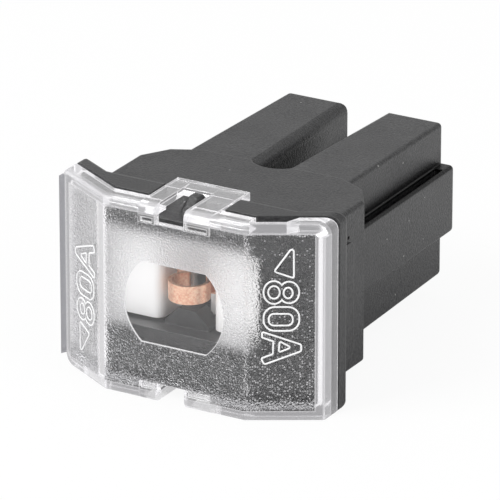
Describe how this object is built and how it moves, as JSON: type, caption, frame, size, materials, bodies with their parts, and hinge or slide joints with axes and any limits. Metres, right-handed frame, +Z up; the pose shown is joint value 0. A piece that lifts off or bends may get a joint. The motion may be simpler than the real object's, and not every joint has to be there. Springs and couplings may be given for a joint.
{
  "type": "fusible link",
  "caption": "Plug-in fusible link: a black moulded body with two hollow legs, folded sockets inside, a copper loop and a clear latched cover.",
  "frame": {"origin": "Middle of the lower face of the bounding box", "axes": "+X across the cover, +Y from the cover back to the ends of the legs, +Z up, towards the upper latch"},
  "size_m": [0.0298, 0.0392, 0.0208],
  "materials": {
    "housing": "black moulded plastic, fine satin grain",
    "cover": "clear moulded plastic, pebbled, with a polished window",
    "terminal": "tin-plated copper alloy, satin",
    "fuse_link": "bare copper strip"
  },
  "bodies": {
    "root": {"housing": "housing", "cover": "cover", "terminal_left": "terminal", "terminal_right": "terminal", "fuse_link": "fuse_link"}
  },
  "joints": []
}
